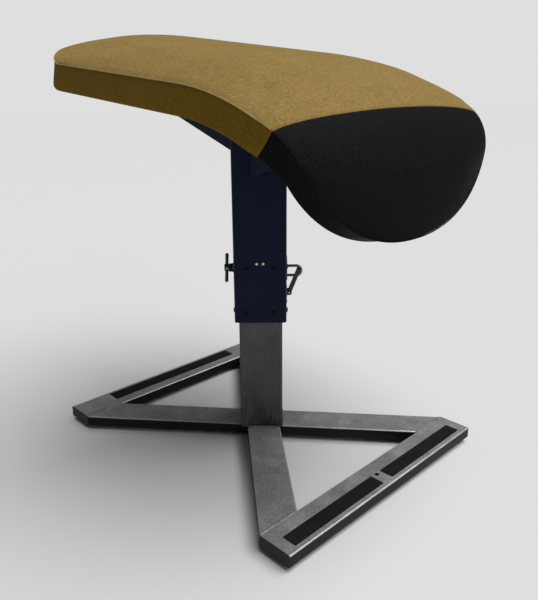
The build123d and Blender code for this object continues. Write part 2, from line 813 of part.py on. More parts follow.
with BuildPart() as deck_bolts:
    with BuildSketch(plate_underside):
        with Locations(*deck_bolt_spots):
            Circle(deck_bolt_head_r)
    extrude(amount=-deck_bolt_head_height, taper=25)
    with BuildSketch(plate_underside):
        with Locations(*deck_bolt_spots):
            Circle(deck_bolt_r)
    extrude(amount=deck_plate_thickness + board_thickness - 4)
save(deck_bolts.part, "deck_bolts")


# ---------------------------------------------------------------- board, foam and covers
def crowned_section(s, inset, high, low, crowned):
    """Cross-section of the top: flat floor at depth low, straight sides and a crown."""
    width = half_width_at(s) - inset
    with BuildSketch(section_plane(s)) as sketch:
        with BuildLine():
            Line((-width, -high), (-width, -low))
            Line((-width, -low), (width, -low))
            Line((width, -low), (width, -high))
            if crowned:
                EllipticalCenterArc((0, -high), width, crown_at(s), start_angle=0, arc_size=180)
            else:
                Line((width, -high), (-width, -high))
        make_face()
    return sketch.sketch


tip_end = seam_total - tip_margin
filling_inset = cover_thickness + foam_gap
filling_stations = stations(rear_wall + foam_gap, tip_end - tip_wall - foam_gap)
board_top = side_depth - board_thickness
with BuildPart() as board_stock:
    loft(
        [crowned_section(s, filling_inset, board_top, side_depth, False) for s in filling_stations],
        ruled=True,
    )
with BuildPart() as deck_board:
    add(board_stock)
    with BuildSketch(plate_underside):
        with Locations(*deck_bolt_spots):
            Circle(deck_bolt_r)
    extrude(amount=deck_plate_thickness + board_thickness - 4, mode=Mode.SUBTRACT)
save(deck_board.part, "deck_board")

foam_floor = board_top - foam_gap
with BuildPart() as foam_pad:
    loft(
        [crowned_section(s, filling_inset, filling_inset, foam_floor, True) for s in filling_stations],
        ruled=True,
    )
save(foam_pad.part, "foam_pad")


def cover_shell(start, end, cut_start, cut_end):
    """Sewn skin over the crown, sides and end of the foam, open underneath."""
    with BuildPart() as shell:
        loft([crowned_section(s, 0, 0, side_depth, True) for s in stations(start, end)], ruled=True)
        inner = [
            crowned_section(s, cover_thickness, cover_thickness, 2 * side_depth, True)
            for s in stations(cut_start, cut_end)
        ]
        loft(inner, ruled=True, mode=Mode.SUBTRACT)
    return shell.part


save(cover_shell(0, join_position, rear_wall, join_position), "tan_cover")
save(cover_shell(join_position, tip_end, join_position, tip_end - tip_wall), "front_cover")
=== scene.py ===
"""Looks of the vaulting table: covers, seams, welds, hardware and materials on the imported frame."""
from math import atan, cos, pi, radians, sin, tan

import bmesh
import bpy
import numpy as np
from mathutils import Matrix, Vector


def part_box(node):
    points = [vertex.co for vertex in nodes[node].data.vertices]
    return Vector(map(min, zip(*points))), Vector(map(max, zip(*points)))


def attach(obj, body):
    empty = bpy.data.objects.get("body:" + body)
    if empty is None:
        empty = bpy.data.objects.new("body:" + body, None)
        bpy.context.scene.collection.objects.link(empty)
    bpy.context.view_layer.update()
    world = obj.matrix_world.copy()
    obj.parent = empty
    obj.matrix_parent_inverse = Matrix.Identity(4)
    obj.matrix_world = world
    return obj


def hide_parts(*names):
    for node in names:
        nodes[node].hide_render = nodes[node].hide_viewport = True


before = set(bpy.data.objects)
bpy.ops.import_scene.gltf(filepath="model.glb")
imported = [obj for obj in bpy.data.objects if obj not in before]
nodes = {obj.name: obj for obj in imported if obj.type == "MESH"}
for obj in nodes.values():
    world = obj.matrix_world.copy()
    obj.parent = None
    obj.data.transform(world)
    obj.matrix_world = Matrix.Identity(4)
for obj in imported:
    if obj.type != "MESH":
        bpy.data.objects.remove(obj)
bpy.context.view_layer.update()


def centre(node):
    """Middle of a CAD node's box."""
    low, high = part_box(node)
    return (low + high) / 2


column = Vector((centre("inner_column").x, 0.0, 0.0))
bar_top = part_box("front_bar")[1].z

# ---------------------------------------------------------------- shape of the padded top (metres)
TOP_HALF = 0.475
SEAM_REAR_X = -0.509 + column.x
SEAM_Z = 1.303
SEAM_SLOPE = radians(5.74)
STRAIGHT = (0.186 + 0.509) / cos(SEAM_SLOPE)
RADII = (0.932, 0.195)
ANGLES = (radians(24.7), radians(80.2))
BEND_1 = RADII[0] * (ANGLES[0] - SEAM_SLOPE)
BEND_2 = RADII[1] * (ANGLES[1] - ANGLES[0])
DROP = 0.195
TOTAL = STRAIGHT + BEND_1 + BEND_2 + DROP
SIDE = 0.0787
CROWN_AT = (0.0, STRAIGHT, STRAIGHT + BEND_1, TOTAL)
CROWN = (0.099, 0.083, 0.062, 0.043)
CROWN_POWER = 0.57
TAPER = 0.223
TIP_LENGTH = 0.446
TIP_POWERS = (3.56, 2.18)
REAR_CORNER = 0.080
REAR_ROUND = 0.030
REAR_CROWN_SHARE = 0.94
JOIN_NEAR = 1.056
JOIN_FAR = 1.060


def seam(s):
    """Points, tangents and outward normals of the seam line at distances s."""
    s = np.asarray(s, float)
    run_0 = np.minimum(s, STRAIGHT)
    run_1 = np.clip(s - STRAIGHT, 0, BEND_1)
    run_2 = np.clip(s - STRAIGHT - BEND_1, 0, BEND_2)
    run_3 = np.maximum(s - STRAIGHT - BEND_1 - BEND_2, 0)
    a_1 = SEAM_SLOPE + run_1 / RADII[0]
    a_2 = a_1 + run_2 / RADII[1]
    x = SEAM_REAR_X + run_0 * cos(SEAM_SLOPE)
    z = SEAM_Z + tan(SEAM_SLOPE) * 0.509 - run_0 * sin(SEAM_SLOPE)
    x = x + RADII[0] * (np.sin(a_1) - sin(SEAM_SLOPE)) + RADII[1] * (np.sin(a_2) - np.sin(a_1))
    z = z + RADII[0] * (np.cos(a_1) - cos(SEAM_SLOPE)) + RADII[1] * (np.cos(a_2) - np.cos(a_1))
    x = x + run_3 * np.cos(a_2)
    z = z - run_3 * np.sin(a_2)
    zero = np.zeros_like(x)
    point = np.stack([x, zero, z], -1)
    tangent = np.stack([np.cos(a_2), zero, -np.sin(a_2)], -1)
    normal = np.stack([np.sin(a_2), zero, np.cos(a_2)], -1)
    return point, tangent, normal


def free_width(s):
    """Half width of the top at distances s along the seam, before the rear corners are rounded."""
    s = np.asarray(s, float)
    width = TOP_HALF - TAPER * np.maximum(0, s - STRAIGHT - BEND_1)
    k = np.clip((s - TOTAL + TIP_LENGTH) / TIP_LENGTH, 0, 1)
    return width * np.maximum(0, 1 - k ** TIP_POWERS[0]) ** (1 / TIP_POWERS[1])


def half_width(s):
    """Half width of the top with its rear corners rounded."""
    d = np.clip((REAR_CORNER - np.asarray(s, float)) / REAR_CORNER, 0, 1)
    return free_width(s) - REAR_CORNER * (1 - np.sqrt(1 - d * d))


def crown(s, y):
    """Height of the padding above the seam level at (s, y); it runs out to a flat rear end."""
    s = np.asarray(s, float)
    height = np.interp(s, CROWN_AT, CROWN)
    k = np.clip((s - TOTAL + TIP_LENGTH) / TIP_LENGTH, 0, 1)
    d = np.clip((REAR_ROUND - s) / REAR_ROUND, 0, 1)
    t = np.clip(np.abs(y) / np.maximum(free_width(s), 1e-6), 0, 1)
    rear_fade = REAR_CROWN_SHARE + (1 - REAR_CROWN_SHARE) * np.sqrt(1 - d * d)
    height = height * np.sqrt(np.maximum(0, 1 - k * k)) * rear_fade
    return height * np.maximum(0, 1 - t * t) ** CROWN_POWER


def outline(spacing):
    """Closed outline of the top in (s, y), starting at the rear centre, with outward normals."""
    rear = np.stack([np.zeros(40), np.linspace(0, half_width(0.0), 40)], -1)[:-1]
    bend = (1 - np.cos(np.linspace(0, pi / 2, 30))) * REAR_CORNER * 1.2
    mid = np.linspace(bend[-1], TOTAL - TIP_LENGTH, 200)[1:]
    tip = TOTAL - TIP_LENGTH * (1 - np.sin(np.linspace(0, pi / 2, 500))[1:])
    s = np.concatenate([bend, mid, tip])
    half = np.concatenate([rear, np.stack([s, half_width(s)], -1)])
    half[-1, 1] = 0
    length = np.concatenate([[0], np.cumsum(np.linalg.norm(np.diff(half, axis=0), axis=1))])
    count = int(length[-1] / spacing)
    at = np.linspace(0, length[-1], count + 1)
    side = np.stack([np.interp(at, length, half[:, 0]), np.interp(at, length, half[:, 1])], -1)
    other = side[1:-1][::-1] * [1, -1]
    loop = np.concatenate([side, other])
    share = np.concatenate([at, at[1:-1][::-1]]) / length[-1]
    step = np.roll(loop, -1, 0) - np.roll(loop, 1, 0)
    normal = np.stack([-step[:, 1], step[:, 0]], -1)
    normal = -normal / np.linalg.norm(normal, axis=1)[:, None]
    if normal[len(loop) // 4, 1] < 0:
        normal = -normal
    return loop, share, normal


# ---------------------------------------------------------------- small mesh helpers
def to_object(name, vertices, faces, smooth=True):
    """Linked mesh object made from vertices and faces."""
    mesh = bpy.data.meshes.new(name)
    mesh.from_pydata([tuple(map(float, v)) for v in vertices], [], faces)
    mesh.update()
    piece = bpy.data.objects.new(name, mesh)
    bpy.context.scene.collection.objects.link(piece)
    mesh.polygons.foreach_set("use_smooth", [smooth] * len(mesh.polygons))
    return piece


def coords(piece):
    """Vertex positions of a mesh object as rows of x, y, z."""
    out = np.zeros(len(piece.data.vertices) * 3)
    piece.data.vertices.foreach_get("co", out)
    return out.reshape(-1, 3)


def set_coords(piece, points):
    """Write rows of x, y, z back to the mesh object."""
    piece.data.vertices.foreach_set("co", np.asarray(points, float).ravel())
    piece.data.update()


def ring_faces(rings, sides, ends=True):
    """Quads between successive rings of points, with or without the two end faces."""
    faces = []
    for i in range(rings - 1):
        for k in range(sides):
            m = (k + 1) % sides
            faces.append((i * sides + k, i * sides + m, (i + 1) * sides + m, (i + 1) * sides + k))
    if ends:
        faces.append(tuple(range(sides))[::-1])
        faces.append(tuple((rings - 1) * sides + k for k in range(sides)))
    return faces


def tube(points, radii, sides, up=(0, 0, 1), ripple=None):
    """Vertices and faces of a tube along points; radii is (width, height) of its oval section."""
    points = np.asarray(points, float)
    step = np.gradient(points, axis=0)
    step /= np.linalg.norm(step, axis=1)[:, None]
    side = np.cross(step, np.asarray(up, float))
    side /= np.linalg.norm(side, axis=1)[:, None]
    top = np.cross(side, step)
    angles = np.arange(sides) * 2 * pi / sides
    grow = np.ones(len(points)) if ripple is None else ripple
    ring = (
        points[:, None]
        + radii[0] * grow[:, None, None] * np.cos(angles)[None, :, None] * side[:, None]
        + radii[1] * grow[:, None, None] * np.sin(angles)[None, :, None] * top[:, None]
    )
    return ring.reshape(-1, 3), ring_faces(len(points), sides)


def join_parts(parts):
    """One vertex and face list from several."""
    vertices, faces = [], []
    for v, f in parts:
        base = len(vertices)
        vertices += [tuple(p) for p in v]
        faces += [tuple(base + i for i in face) for face in f]
    return vertices, faces


# ---------------------------------------------------------------- materials
def material(name, color, roughness, metallic=0.0, coat=0.0, coat_roughness=0.1, sheen=0.0, specular=0.5):
    """New material with its node tree and its Principled shader."""
    mat = bpy.data.materials.new(name)
    mat.use_nodes = True
    tree = mat.node_tree
    shader = tree.nodes["Principled BSDF"]
    shader.inputs["Base Color"].default_value = (*color, 1)
    shader.inputs["Roughness"].default_value = roughness
    shader.inputs["Metallic"].default_value = metallic
    shader.inputs["Coat Weight"].default_value = coat
    shader.inputs["Coat Roughness"].default_value = coat_roughness
    shader.inputs["Sheen Weight"].default_value = sheen
    shader.inputs["Specular IOR Level"].default_value = specular
    return mat, tree, shader


def node(tree, kind, inputs=None, **settings):
    """New node; an input is either a socket to link or a value to set."""
    made = tree.nodes.new(kind)
    for key, value in settings.items():
        setattr(made, key, value)
    for key, value in (inputs or {}).items():
        if isinstance(value, bpy.types.NodeSocket):
            tree.links.new(value, made.inputs[key])
        else:
            made.inputs[key].default_value = value
    return made


def place(tree, scale=(1, 1, 1), turn=0.0):
    """Object coordinates, turned about Z and scaled."""
    source = node(tree, "ShaderNodeTexCoord").outputs["Object"]
    turned = node(tree, "ShaderNodeMapping", {"Vector": source, "Rotation": (0, 0, turn)})
    return node(tree, "ShaderNodeMapping", {"Vector": turned.outputs[0], "Scale": scale}).outputs[0]


def noise(tree, vector, scale, detail=3.0, rough=0.5):
    """Noise texture value at the given coordinates."""
    inputs = {"Vector": vector, "Scale": scale, "Detail": detail, "Roughness": rough}
    return node(tree, "ShaderNodeTexNoise", inputs).outputs["Fac"]


def ramp(tree, value, stops):
    """Colour or grey ramp through (position, colour) stops."""
    made = node(tree, "ShaderNodeValToRGB", {"Fac": value})
    elements = made.color_ramp.elements
    while len(elements) < len(stops):
        elements.new(0.5)
    for element, (position, color) in zip(elements, stops):
        element.position = position
        element.color = (*color, 1) if len(color) == 3 else (color[0], color[0], color[0], 1)
    return made.outputs["Color"]


def mix(tree, a, b, amount, mode="MIX"):
    """Colour mix of two sockets or colours."""
    made = node(tree, "ShaderNodeMix", data_type="RGBA", blend_type=mode)
    for index, value in ((0, amount), (6, a), (7, b)):
        if isinstance(value, bpy.types.NodeSocket):
            tree.links.new(value, made.inputs[index])
        elif index == 0:
            made.inputs[0].default_value = value
        else:
            made.inputs[index].default_value = (*value, 1)
    return made.outputs[2]


def bump(tree, shader, heights):
    """Chain of bumps: (height socket, strength, distance)."""
    last = None
    for height, strength, distance in heights:
        inputs = {"Height": height, "Strength": strength, "Distance": distance}
        if last is not None:
            inputs["Normal"] = last
        last = node(tree, "ShaderNodeBump", inputs).outputs["Normal"]
    tree.links.new(last, shader.inputs["Normal"])


def link(tree, shader, name, socket):
    """Drive one shader input from a socket."""
    tree.links.new(socket, shader.inputs[name])


def suede(name, dark, light, grain):
    """Suede-grain vinyl: cloudy patches, fine nap and a faint sheen."""
    mat, tree, shader = material(name, light, 0.82, sheen=0.02, specular=0.06)
    shader.inputs["Sheen Roughness"].default_value = 0.5
    at = place(tree)
    clouds = noise(tree, at, 7.0, 4.0, 0.6)
    patches = noise(tree, at, 38.0, 5.0, 0.65)
    nap = noise(tree, at, 130.0, 5.0, 0.75)
    color = ramp(tree, clouds, [(0.3, dark), (0.7, light)])
    patch_shade = ramp(tree, patches, [(0.32, (0.86,) * 3), (0.68, (1.12,) * 3)])
    nap_shade = ramp(tree, nap, [(0.36, (0.72,) * 3), (0.64, (1.24,) * 3)])
    color = mix(tree, color, patch_shade, 0.55, "MULTIPLY")
    color = mix(tree, color, nap_shade, 0.8, "MULTIPLY")
    link(tree, shader, "Base Color", color)
    link(tree, shader, "Roughness", ramp(tree, patches, [(0.3, (0.72,)), (0.7, (0.9,))]))
    pores = node(tree, "ShaderNodeTexVoronoi", {"Vector": at, "Scale": grain}).outputs["Distance"]
    bump(tree, shader, [(nap, 0.35, 0.0006), (pores, 0.25, 0.0005)])
    return mat


def grain_vinyl(name, color, lighter):
    """Fine-grain vinyl with small pebbles and faint handling marks."""
    mat, tree, shader = material(name, color, 0.6, specular=0.012)
    at = place(tree)
    pebbles = node(tree, "ShaderNodeTexVoronoi", {"Vector": at, "Scale": 420.0}).outputs["Distance"]
    wide = noise(tree, at, 9.0, 4.0, 0.6)
    fine = noise(tree, at, 300.0, 2.0, 0.5)
    link(tree, shader, "Base Color", ramp(tree, fine, [(0.35, color), (0.7, lighter)]))
    link(tree, shader, "Roughness", ramp(tree, wide, [(0.3, (0.5,)), (0.7, (0.64,))]))
    bump(tree, shader, [(pebbles, 0.35, 0.0006), (fine, 0.2, 0.0004)])
    return mat


def ground_steel(name, turn, vertical=False, dark=(0.19, 0.19, 0.192), light=(0.29, 0.29, 0.292)):
    """Ground steel under clear lacquer; on a lying tube the sides are darkened as painted shade and the
    rounded edges are lightened as painted highlight.
    """
    mat, tree, shader = material(
        name, light, 0.4, metallic=0.55, coat=0.03, coat_roughness=0.2, specular=0.1
    )
    stretch = (60, 60, 3) if vertical else (3, 60, 60)
    lined = place(tree, stretch, turn)
    at = place(tree, (1, 1, 1), turn)
    lines = noise(tree, lined, 9.0, 4.0, 0.6)
    clouds = noise(tree, at, 11.0, 5.0, 0.65)
    speckle = noise(tree, at, 170.0, 3.0, 0.7)
    color = ramp(tree, clouds, [(0.3, dark), (0.72, light)])
    line_shade = ramp(tree, lines, [(0.3, (0.8,) * 3), (0.7, (1.18,) * 3)])
    color = mix(tree, color, line_shade, 0.7, "MULTIPLY")
    speckle_shade = ramp(tree, speckle, [(0.35, (0.72,) * 3), (0.68, (1.3,) * 3)])
    color = mix(tree, color, speckle_shade, 0.25 if vertical else 0.85, "MULTIPLY")
    scratch_stretch = (240, 240, 8) if vertical else (8, 240, 240)
    scratch = noise(tree, place(tree, scratch_stretch, turn + 0.06), 5.0, 2.0)
    scratch_shade = ramp(tree, scratch, [(0.66, (1.0,) * 3), (0.72, (1.5,) * 3)])
    color = mix(tree, color, scratch_shade, 0.5, "MULTIPLY")
    if vertical:
        height = node(tree, "ShaderNodeSeparateXYZ", {0: at}).outputs["Z"]
        low = ramp(tree, height, [(0.05, (1.0,)), (0.24, (0.0,))])
        soot = noise(tree, place(tree, (22, 22, 7)), 1.0, 4.0, 0.6)
        stain = mix(tree, (0, 0, 0), ramp(tree, soot, [(0.46, (0.0,)), (0.6, (0.85,))]), low)
        color = mix(tree, color, mix(tree, (1, 1, 1), (0.25, 0.25, 0.25), stain), 1.0, "MULTIPLY")
    else:
        direction = node(tree, "ShaderNodeTexCoord").outputs["Normal"]
        facing = node(tree, "ShaderNodeSeparateXYZ", {0: direction}).outputs["Z"]
        # colour by facing: sides darkened to 3.5% as painted shade, rounded edges lifted 1.3 times as
        # painted highlight
        side_shade_edge_highlight_painted = ramp(tree, facing, [(0.3, (0.035,)), (0.6, (1.3,)), (0.94, (1.3,)), (0.99, (1.0,))])
        color = mix(tree, color, side_shade_edge_highlight_painted, 1.0, "MULTIPLY")
        link(tree, shader, "Metallic", ramp(tree, facing, [(0.3, (0.03,)), (0.6, (0.55,))]))
    link(tree, shader, "Base Color", color)
    link(tree, shader, "Roughness", ramp(tree, clouds, [(0.3, (0.34,)), (0.7, (0.5,))]))
    bump(tree, shader, [(lines, 0.18, 0.0004), (speckle, 0.12, 0.0004)])
    return mat


def painted(name, color, lighter, roughness=0.34):
    """Powder coat: orange peel, faint dust and slightly worn gloss."""
    mat, tree, shader = material(name, color, roughness, coat=0.01, coat_roughness=0.2, specular=0.07)
    at = place(tree)
    peel = noise(tree, at, 190.0, 2.0, 0.5)
    wide = noise(tree, at, 8.0, 4.0, 0.6)
    link(tree, shader, "Base Color", ramp(tree, wide, [(0.35, color), (0.75, lighter)]))
    uneven = ramp(tree, wide, [(0.3, (roughness - 0.06,)), (0.7, (roughness + 0.1,))])
    link(tree, shader, "Roughness", uneven)
    bump(tree, shader, [(peel, 0.16, 0.0005)])
    return mat


def metal(name, color, roughness, scale=160.0, tint=None, metallic=1.0):
    """Small hardware metal with turning marks and smudges."""
    mat, tree, shader = material(name, color, roughness, metallic=metallic)
    at = place(tree)
    marks = noise(tree, at, scale, 3.0, 0.6)
    smudge = noise(tree, at, 40.0, 3.0, 0.6)
    worn = tint or tuple(c * 0.7 for c in color)
    link(tree, shader, "Base Color", ramp(tree, smudge, [(0.3, worn), (0.65, color)]))
    uneven = ramp(tree, marks, [(0.3, (roughness * 0.8,)), (0.7, (roughness * 1.35,))])
    link(tree, shader, "Roughness", uneven)
    bump(tree, shader, [(marks, 0.08, 0.0003)])
    return mat


def moulded(name, color, roughness, scale=300.0, lighter=None):
    """Moulded plastic or rubber with a fine matt texture and dust."""
    mat, tree, shader = material(name, color, roughness, specular=0.2)
    at = place(tree)
    fine = noise(tree, at, scale, 2.0, 0.5)
    dust = noise(tree, at, 20.0, 4.0, 0.6)
    dusty = lighter or tuple(c * 1.6 for c in color)
    link(tree, shader, "Base Color", ramp(tree, dust, [(0.4, color), (0.8, dusty)]))
    rougher = min(1.0, roughness * 1.12)
    link(tree, shader, "Roughness", ramp(tree, dust, [(0.3, (roughness * 0.92,)), (0.7, (rougher,))]))
    bump(tree, shader, [(fine, 0.22, 0.0004)])
    return mat


def grit(name):
    """Anti-slip tape: dense mineral grains with small lighter specks as painted glints."""
    mat, tree, shader = material(name, (0.006, 0.006, 0.006), 0.85, specular=0.08)
    at = place(tree)
    grains = node(tree, "ShaderNodeTexVoronoi", {"Vector": at, "Scale": 700.0}).outputs["Distance"]
    painted_glints = noise(tree, at, 900.0, 1.0, 0.5)
    wear = noise(tree, at, 14.0, 4.0, 0.6)
    # lighter specks in the colour are painted glints on the grains
    color = ramp(tree, painted_glints, [(0.55, (0.004, 0.004, 0.004)), (0.78, (0.03, 0.03, 0.031))])
    color = mix(tree, color, ramp(tree, wear, [(0.35, (0.8,) * 3), (0.75, (1.6,) * 3)]), 0.6, "MULTIPLY")
    link(tree, shader, "Base Color", color)
    bump(tree, shader, [(grains, 0.8, 0.0008)])
    return mat


def plywood(name):
    """Black-stained plywood: long grain with darker pores."""
    mat, tree, shader = material(name, (0.012, 0.012, 0.013), 0.7, specular=0.15)
    at = place(tree, (2, 26, 26))
    rings = noise(tree, at, 4.0, 6.0, 0.6)
    pores = noise(tree, place(tree, (8, 300, 300)), 3.0, 2.0)
    color = ramp(tree, rings, [(0.3, (0.006, 0.007, 0.009)), (0.7, (0.018, 0.019, 0.022))])
    color = mix(tree, color, ramp(tree, pores, [(0.35, (0.7,) * 3), (0.6, (1.0,) * 3)]), 0.6, "MULTIPLY")
    link(tree, shader, "Base Color", color)
    bump(tree, shader, [(rings, 0.15, 0.0006), (pores, 0.2, 0.0003)])
    return mat


DIAGONAL_SLOPE = 0.8332
diagonal_turn = atan(DIAGONAL_SLOPE)
tan_vinyl = suede("tan_suede_vinyl", (0.170, 0.112, 0.032), (0.190, 0.126, 0.038), 900.0)
# the side band gets a darker copy of the tan vinyl: painted shade for the weaker light on the band
band_vinyl_painted_shade = suede("tan_band_vinyl", (0.128, 0.073, 0.004), (0.146, 0.086, 0.008), 900.0)
# the piping is a lighter tan than the top: painted highlight along its rounded edge
piping_vinyl_painted_highlight = suede("piping_vinyl_painted_highlight", (0.22, 0.155, 0.065), (0.28, 0.2, 0.09), 900.0)
black_vinyl = grain_vinyl("black_grain_vinyl", (0.0040, 0.0040, 0.0040), (0.0105, 0.0105, 0.0105))
navy = painted("navy_powder_coat", (0.0045, 0.0090, 0.027), (0.0065, 0.0130, 0.037))
steel_y = ground_steel("ground_steel_bars", pi / 2)
steel_long = ground_steel("ground_steel_diagonal_a", -diagonal_turn)
steel_cross = ground_steel("ground_steel_diagonal_b", diagonal_turn)
steel_column = ground_steel("ground_steel_column", 0.0, True, (0.070, 0.070, 0.071), (0.105, 0.105, 0.106))
dark_steel = painted("black_painted_steel", (0.010, 0.010, 0.011), (0.02, 0.02, 0.02), 0.45)
chrome = metal("worn_chrome", (0.24, 0.24, 0.245), 0.2, tint=(0.09, 0.09, 0.092))
latch_metal = metal("black_zinc", (0.055, 0.055, 0.06), 0.36)
zinc = metal("zinc_plate", (0.48, 0.49, 0.5), 0.34)
brass = metal("turned_brass", (0.95, 0.86, 0.62), 0.3, metallic=0.45)
black_bolt = metal("black_oxide", (0.02, 0.02, 0.023), 0.4)
weld_metal = metal("weld_bead", (0.2, 0.2, 0.205), 0.32, 120.0, (0.1, 0.085, 0.08), 0.6)
rubber = moulded("black_rubber", (0.008, 0.008, 0.008), 0.72)
cap_plastic = moulded("black_cap_plastic", (0.010, 0.010, 0.010), 0.5)
glide_plastic = moulded("glide_polyamide", (0.52, 0.52, 0.48), 0.5, 200.0, (0.62, 0.62, 0.58))
grip = grit("grit_tape")
wood = plywood("stained_plywood")

finishes = {
    "front_bar": steel_y, "rear_bar": steel_y, "diagonal_long": steel_long,
    "diagonal_front_half": steel_cross, "diagonal_rear_half": steel_cross,
    "inner_column": steel_column, "column_floor_plate": dark_steel, "bar_end_caps": cap_plastic,
    "foot_screws": zinc, "front_grip_strips": grip, "rear_grip_strip": grip,
    "upper_glide_pads": glide_plastic, "lower_glide_pads": glide_plastic, "strut_cylinder": dark_steel,
    "strut_rod": chrome, "strut_top_block": dark_steel, "outer_column": navy, "clamp_boss": navy,
    "pad_adjusting_screws": brass, "latch_guide": latch_metal, "latch_bracket": latch_metal,
    "latch_pivot_pin": zinc, "latch_torsion_spring": zinc, "latch_lever": latch_metal,
    "latch_pull_rod": chrome, "clamp_pressure_pad": brass, "clamp_spindle": chrome, "clamp_t_bar": chrome,
    "deck_plate": dark_steel, "deck_bolts": zinc, "deck_board": wood,
    "rear_arm_left_plate": navy, "rear_arm_right_plate": navy, "rear_arm_floor_plate": navy,
    "front_arm_left_plate": navy, "front_arm_right_plate": navy, "front_arm_floor_plate": navy,
}
for name, finish in finishes.items():
    nodes[name].data.materials.clear()
    nodes[name].data.materials.append(finish)


# ---------------------------------------------------------------- padded top
SPACING = 0.012
RING_INSETS = (0.0, 0.003, 0.008, 0.015, 0.024, 0.035, 0.048)
RINGS_INSIDE = 26
RING_EASING = 1.15
REAR_BLEND = REAR_CORNER * 1.6
BAND_PORTIONS = (0.0, 0.055, 0.14, 0.26, 0.4, 0.54, 0.68, 0.8, 0.9)
REAR_HEM_ROUND = 0.020
REAR_LEAN = 0.012
HEM_ROUND = 0.008
HEM_WIDTH = 0.036
HEM_DROP = 0.0046
SLACK = 0.002
SLACK_REACH = 0.03
SPINE = (0.26, TOTAL - 0.24)
FOLD_AT = 0.985
FOLD_REACH = 0.026
FOLD_PITCH = 0.030
FOLD_HEIGHT = 0.0022
CLOTH_PRESSURE = 2.0
CLOTH_FRAMES = 16
CLOTH_CAP = 0.0045

# pin weights: 1 holds a point, the lower ones let it swell
HELD = 1.0
CORNER_PIN = 0.6
BAND_PIN = 0.02
EDGE_PIN = 0.02
MIDDLE_PIN = 0.05

loop, share, loop_normal = outline(SPACING)
loop_point, loop_tangent, loop_up = seam(loop[:, 0])
across = np.array([0.0, 1.0, 0.0])
loop_lift = np.where(loop[:, 0] < REAR_CORNER, crown(loop[:, 0], loop[:, 1]), 0.0)
loop_level = loop_point + loop[:, 1:2] * across
loop_seam = loop_level + loop_lift[:, None] * loop_up
loop_out = loop_normal[:, 0:1] * loop_tangent + loop_normal[:, 1:2] * across
n = len(loop)
spine = np.stack([SPINE[0] + (SPINE[1] - SPINE[0]) * share, np.zeros(n)], -1)


def on_top(sy, raise_by=0.0):
    """Points of the padded surface at plan places (s, y), moved along the normal of the seam."""
    point, _, up = seam(sy[:, 0])
    return point + sy[:, 1:2] * across + (crown(sy[:, 0], sy[:, 1]) + raise_by)[:, None] * up


rear_share = np.clip((REAR_BLEND - loop[:, 0]) / REAR_BLEND, 0, 1)[:, None]
rear_share = rear_share * rear_share * (3 - 2 * rear_share)
hem_round = HEM_ROUND + (REAR_HEM_ROUND - HEM_ROUND) * rear_share
rows, weights = [], []
hem_insets = (HEM_WIDTH, HEM_WIDTH * 0.7)
hem_angles = (0.0, 30.0, 60.0, 90.0)
for inset in hem_insets:
    rows.append(loop_level - (SIDE + HEM_DROP) * loop_up - inset * loop_out)
    weights.append(HELD)
for angle in hem_angles:
    a = radians(angle)
    depth = SIDE + HEM_DROP - hem_round * (1 - cos(a))
    outward = REAR_LEAN * rear_share - hem_round * (1 - sin(a))
    rows.append(loop_level - depth * loop_up + outward * loop_out)
    weights.append(CORNER_PIN)
side_now = SIDE + HEM_DROP - hem_round
fold_fade = np.exp(-(((loop[:, 0] - FOLD_AT) / FOLD_REACH) ** 2))
fold_share = fold_fade * np.sin((loop[:, 0] - FOLD_AT) * 2 * pi / FOLD_PITCH)
for portion in BAND_PORTIONS[::-1]:
    middle = sin(pi * portion)
    outward = REAR_LEAN * rear_share[:, 0] * sin(pi / 2 * portion) - SLACK * middle
    outward = (outward + FOLD_HEIGHT * middle * fold_share)[:, None]
    level = loop_lift[:, None] - (loop_lift[:, None] + side_now) * portion
    rows.append(loop_level + level * loop_up + outward * loop_out)
    weights.append(HELD if portion == 0 else BAND_PIN)
distance = np.linalg.norm(spine - loop, axis=1)
for inset in RING_INSETS[1:]:
    f = inset / distance
    sy = loop + f[:, None] * (spine - loop)
    rows.append(on_top(sy, -SLACK * min(1.0, inset / SLACK_REACH)))
    weights.append(EDGE_PIN)
start = RING_INSETS[-1] / distance
for k in range(1, RINGS_INSIDE + 1):
    g = k / RINGS_INSIDE
    f = start + (1 - start) * g ** RING_EASING
    sy = loop + f[:, None] * (spine - loop)
    rows.append(on_top(sy, -SLACK))
    weights.append(MIDDLE_PIN)
weight_of = np.repeat(weights, n)
vertices = np.concatenate(rows)
faces = ring_faces(len(rows), n, ends=False)
pad = to_object("pad_stock", vertices, faces)
band_faces = n * (len(hem_insets) + len(hem_angles) + len(BAND_PORTIONS) - 1)
# band faces take the second slot, the darker copy of the tan vinyl that paints shade on the band
pad.data.polygons.foreach_set("material_index", [int(k < band_faces) for k in range(len(faces))])
pad.data.attributes.new("pin", "FLOAT", "POINT").data.foreach_set("value", weight_of.astype(np.float32))
work = bmesh.new()
work.from_mesh(pad.data)
bmesh.ops.remove_doubles(work, verts=work.verts, dist=1e-5)
bmesh.ops.recalc_face_normals(work, faces=work.faces)
top_face = max(work.faces, key=lambda f: f.calc_center_median().z)
if top_face.normal.z < 0:
    bmesh.ops.reverse_faces(work, faces=work.faces)
work.to_mesh(pad.data)
work.free()
pin_values = np.zeros(len(pad.data.vertices), np.float32)
pad.data.attributes["pin"].data.foreach_get("value", pin_values)


